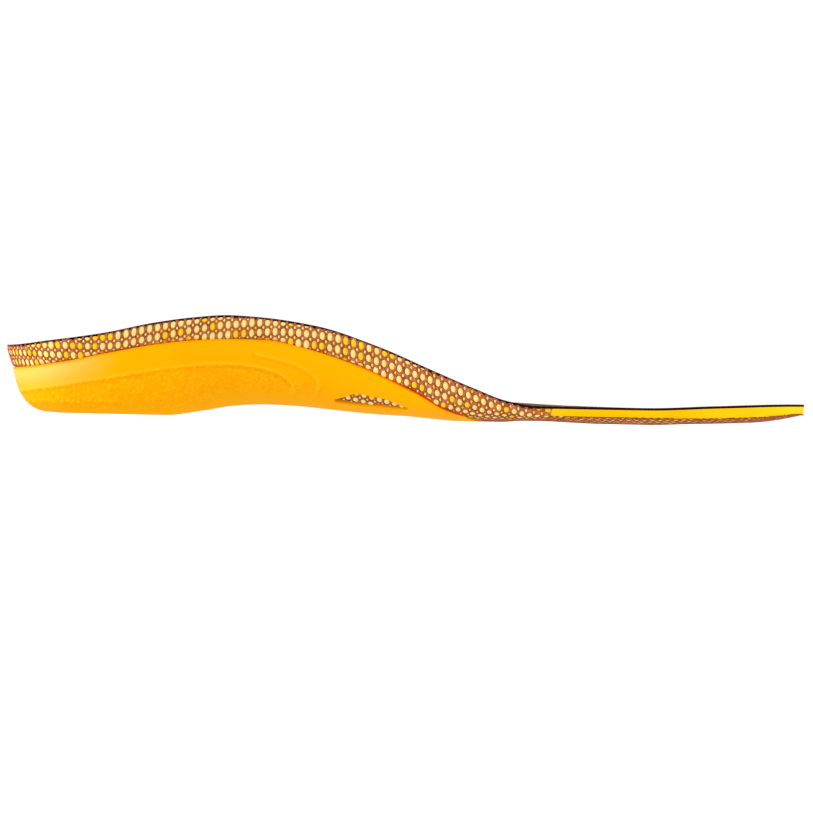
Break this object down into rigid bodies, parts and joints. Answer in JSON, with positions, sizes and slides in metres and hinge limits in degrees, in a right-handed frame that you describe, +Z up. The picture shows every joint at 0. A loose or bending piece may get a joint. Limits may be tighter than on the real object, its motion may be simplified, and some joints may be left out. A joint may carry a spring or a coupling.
{
  "type": "cushioned insole",
  "caption": "Full-length cushioned shoe insole for the left foot: cloth-covered foam with a net skin, a raised arch and a moulded stabilizer cap under the heel and arch.",
  "frame": {"origin": "centre of the insole's box in plan, on the surface it rests on", "axes": "+X towards the toe, +Y towards the little-toe side, +Z up"},
  "size_m": [0.28, 0.0951, 0.0354],
  "materials": {
    "cover_cloth": "black knitted cloth, matt",
    "bond_film": "thin hot-melt film, satin",
    "foam": "yellow open-cell foam, matt",
    "net": "mauve-brown warp-knitted net, matt",
    "cap_plastic": "golden yellow moulded elastomer, satin"
  },
  "bodies": {
    "rear": {"foam_body_rear": "foam", "top_cover_rear": "cover_cloth", "cover_bond_rear": "bond_film", "net_skin_rear": "net", "cap_bond": "bond_film", "stabilizer_cap": "cap_plastic"},
    "toe_end": {"foam_body_front": "foam", "top_cover_front": "cover_cloth", "cover_bond_front": "bond_film", "net_skin_front": "net"}
  },
  "joints": [
    {"name": "toe_flex", "type": "hinge", "parent": "rear", "child": "toe_end", "pos_m": [0.046, 0.0001, 0.0074], "axis": [0.2064, -0.9785, 0], "range_deg": [-15, 55], "stiffness_Nm_per_rad": 0.12}
  ]
}
